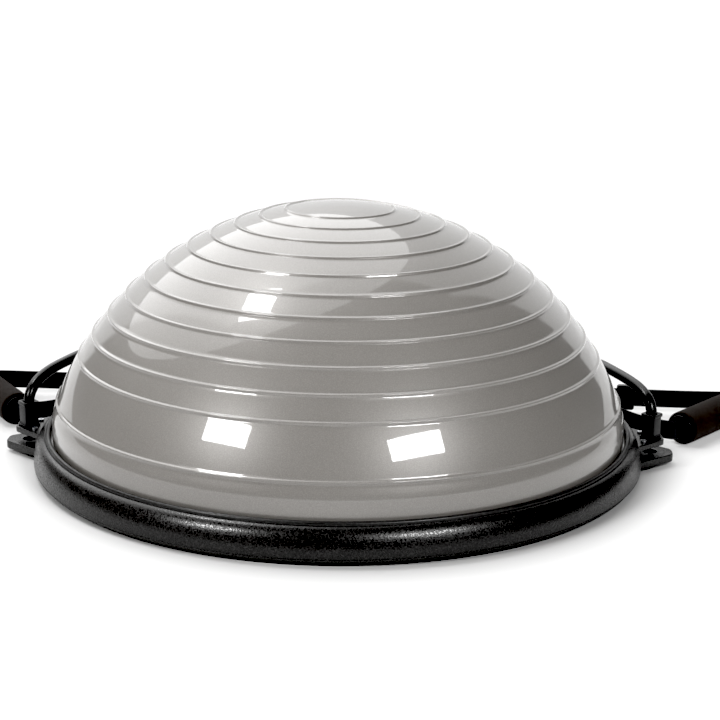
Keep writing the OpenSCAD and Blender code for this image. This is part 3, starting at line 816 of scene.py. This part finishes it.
def standing(at, degrees):
    """A place at the grips' height, turned about Z."""
    turn = Matrix.Rotation(math.radians(degrees), 4, "Z")
    return Matrix.Translation((at[0], at[1], GRIP_Z)) @ turn


def at_ring(h):
    return standing(Vector(h["ring"]) * MM, h["cap_heading"])


def at_grip(h):
    """The grip's near end, with Z along the grip."""
    lying = Matrix.Rotation(math.radians(90), 4, "Y")
    return standing(Vector(h["grip"]) * MM, h["grip_heading"]) @ lying


RING_R, WIRE_R = 0.0145, 0.002
BARREL = (0.0205, 0.0485)
BARREL_R, CAP_BORE_R, BORE_END = 0.0085, 0.00575, 0.0275
GROOVES, GROOVE_PITCH, GROOVE_D = 5, 0.0036, 0.0006
EYE_R, EYE_HOLE_R, EYE_HALF_T, NECK_HALF_W = 0.0064, 0.0031, 0.003, 0.0045


def make_ring(name, h):
    """The D-shaped wire: a half circle and its straight bar, which the webbing folds round."""
    place = at_ring(h)
    turns = [math.radians(t) for t in range(-90, 91, 6)]
    bend = [(RING_R * math.cos(t), 0, RING_R * math.sin(t)) for t in turns]
    bar = [(0, 0, RING_R * (1 - 2 * t / 8)) for t in range(1, 8)]
    path = [place @ Vector(q) for q in bend + bar]
    bm = bmesh.new()
    sweep(bm, path, circle(WIRE_R, 16), closed=True, upright=place.to_3x3() @ Vector((0, 1, 0)))
    piece = new_object(f"wire_ring_{name}", bm)
    finish_piece(piece, "ring_steel", f"ring_{name}", [f"d_ring_{name}"])


def make_end_cap(name, h):
    """The cap on the tube's far end: a ringed barrel with a bore, and a flat eye for the ring."""
    place = at_ring(h)
    barrel = place @ Matrix.Rotation(math.radians(90), 4, "Y")
    start, end = BARREL
    outer = [(0.0045, start), (BARREL_R - 0.0015, start)]
    outer += [(BARREL_R - 0.0005, start + 0.0005), (BARREL_R, start + 0.0015)]
    for k in range(GROOVES):
        z = start + 0.0042 + GROOVE_PITCH * k
        foot = BARREL_R - GROOVE_D
        outer += [(BARREL_R, z), (foot, z + 0.0006), (foot, z + 0.0014), (BARREL_R, z + 0.002)]
    outer += [(BARREL_R, end - 0.0012), (BARREL_R - 0.0004, end - 0.0004), (BARREL_R - 0.0012, end)]
    bore = [(CAP_BORE_R + 0.0006, end), (CAP_BORE_R, end - 0.001)]
    bore += [(CAP_BORE_R, BORE_END), (AXIS_R, BORE_END)]
    bm = bmesh.new()
    revolve(bm, [(AXIS_R, start)] + outer + bore, 40, closed=False, place=barrel)
    neck = [(start + 0.0006, y * NECK_HALF_W) for y in (-1, 1)]
    eye = hull(circle(EYE_R, 28, (RING_R, 0)) + neck)
    eye_hole = circle(EYE_HOLE_R, 24, (RING_R, 0))[::-1]
    plate(bm, [eye, eye_hole], -EYE_HALF_T, EYE_HALF_T, 0.0008, place)
    piece = sharpen(new_object(f"tube_cap_{name}", bm), 28)
    finish_piece(piece, "clip_plastic", f"ring_{name}", [f"end_cap_{name}"])


SLIDER_L, SLIDER_H, SLIDER_T, SLIDER_SLOT, SLIDER_AT = 0.020, 0.028, 0.007, 0.003, 0.052
WINDOW_L, WINDOW_AT, RAIL_Z, RAIL_HALF_H = 0.006, 0.005, 0.0128, 0.0011


def make_slider(name, h):
    """Two windowed plates, joined by rails above and below the webbing."""
    fold = h["fold_far"]
    out = fold - 90 * h["turn"]
    at = Vector(h["ring"]) * MM + FOLD_R * heading(fold) + SLIDER_AT * heading(out)
    upright = Matrix.Rotation(math.radians(90), 4, "X")
    place = standing(at, out)
    loops = [rounded_rectangle(SLIDER_L, SLIDER_H, 0.003)]
    for x in (-WINDOW_AT, WINDOW_AT):
        loops.append(rounded_rectangle(WINDOW_L, WEB_W - 0.002, 0.0012, (x, 0))[::-1])
    rail = rounded_rectangle(SLIDER_L - 0.003, SLIDER_T - 0.0014, 0.001)
    bm = bmesh.new()
    for face in (-1, 1):
        near, far = sorted((face * SLIDER_SLOT / 2, face * SLIDER_T / 2))
        plate(bm, loops, near, far, 0.0006, place @ upright)
    for z in (-RAIL_Z, RAIL_Z):
        plate(bm, [rail], z - RAIL_HALF_H, z + RAIL_HALF_H, 0.0004, place)
    piece = sharpen(new_object(f"web_slider_{name}", bm))
    finish_piece(piece, "clip_plastic", f"slider_{name}", [f"strap_slider_{name}"])


FOAM_R, FOAM_END_R, FOAM_GAP, CORE_R = 0.018, 0.0028, 0.0001, 0.0136
FLANGE_R, FLANGE_T, CAP_HOLE_R, SPIGOT_R, SPIGOT_END = 0.0145, 0.003, 0.0107, 0.0121, 0.011
MOUTH_ROUND, RIM_ROUND = 0.0012, 0.001


def make_foam(name, h):
    """A ground foam sleeve with softly rounded ends and a slightly uneven skin."""
    low, high, soft = FLANGE_T + FOAM_GAP, GRIP_L - FLANGE_T - FOAM_GAP, FOAM_END_R
    outer = [(FOAM_R - soft + x, low + soft - y) for x, y in arc((0, 0), soft, 90, 0, 8)]
    outer += [(FOAM_R, low + soft + (high - low - 2 * soft) * i / 40) for i in range(1, 40)]
    outer += [(FOAM_R - soft + x, high - soft + y) for x, y in arc((0, 0), soft, 0, 90, 8)]
    bm = bmesh.new()
    revolve(bm, [(CORE_R, low + 0.0008)] + outer + [(CORE_R, high - 0.0008)], 96)
    for v in bm.verts:
        radius = math.hypot(v.co.x, v.co.y)
        if radius > CORE_R + 0.001:
            dent = 0.00022 * (noise_of(v.co * 90) - 0.6)
            dent += 0.00012 * (noise_of(v.co * 320) - 0.6)
            v.co.xy *= 1 + min(dent, 0) / radius
    bmesh.ops.transform(bm, matrix=at_grip(h), verts=bm.verts)
    piece = new_object(f"foam_grip_{name}", bm)
    finish_piece(piece, "foam", f"grip_{name}", [f"foam_sleeve_{name}"])


def make_caps(name, h):
    """The end rings of the grip, each with a rounded mouth that the webbing runs over."""
    bm = bmesh.new()
    for end, way in ((0.0, 1), (GRIP_L, -1)):
        inner, outer = CAP_HOLE_R + MOUTH_ROUND, FLANGE_R - RIM_ROUND
        face = [(CAP_HOLE_R, MOUTH_ROUND)]
        face += [(inner - x, MOUTH_ROUND - y) for x, y in arc((0, 0), MOUTH_ROUND, 0, 90, 5)]
        rim = [(outer + x, RIM_ROUND - y) for x, y in arc((0, 0), RIM_ROUND, 90, 0, 5)]
        back = [(FLANGE_R, FLANGE_T - 0.0004), (FLANGE_R - 0.0004, FLANGE_T), (SPIGOT_R, FLANGE_T)]
        back += [(SPIGOT_R, SPIGOT_END - 0.0002), (SPIGOT_R - 0.0004, SPIGOT_END)]
        back += [(CAP_HOLE_R, SPIGOT_END)]
        revolve(bm, [(r, end + way * z) for r, z in face + rim + back], 64, place=at_grip(h))
    piece = sharpen(new_object(f"grip_rings_{name}", bm), 30)
    finish_piece(piece, "clip_plastic", f"grip_{name}", [f"grip_caps_{name}"])


for name, h in HANDLES.items():
    make_strap(name, h)
    make_ring(name, h)
    make_end_cap(name, h)
    make_slider(name, h)
    make_foam(name, h)
    make_caps(name, h)
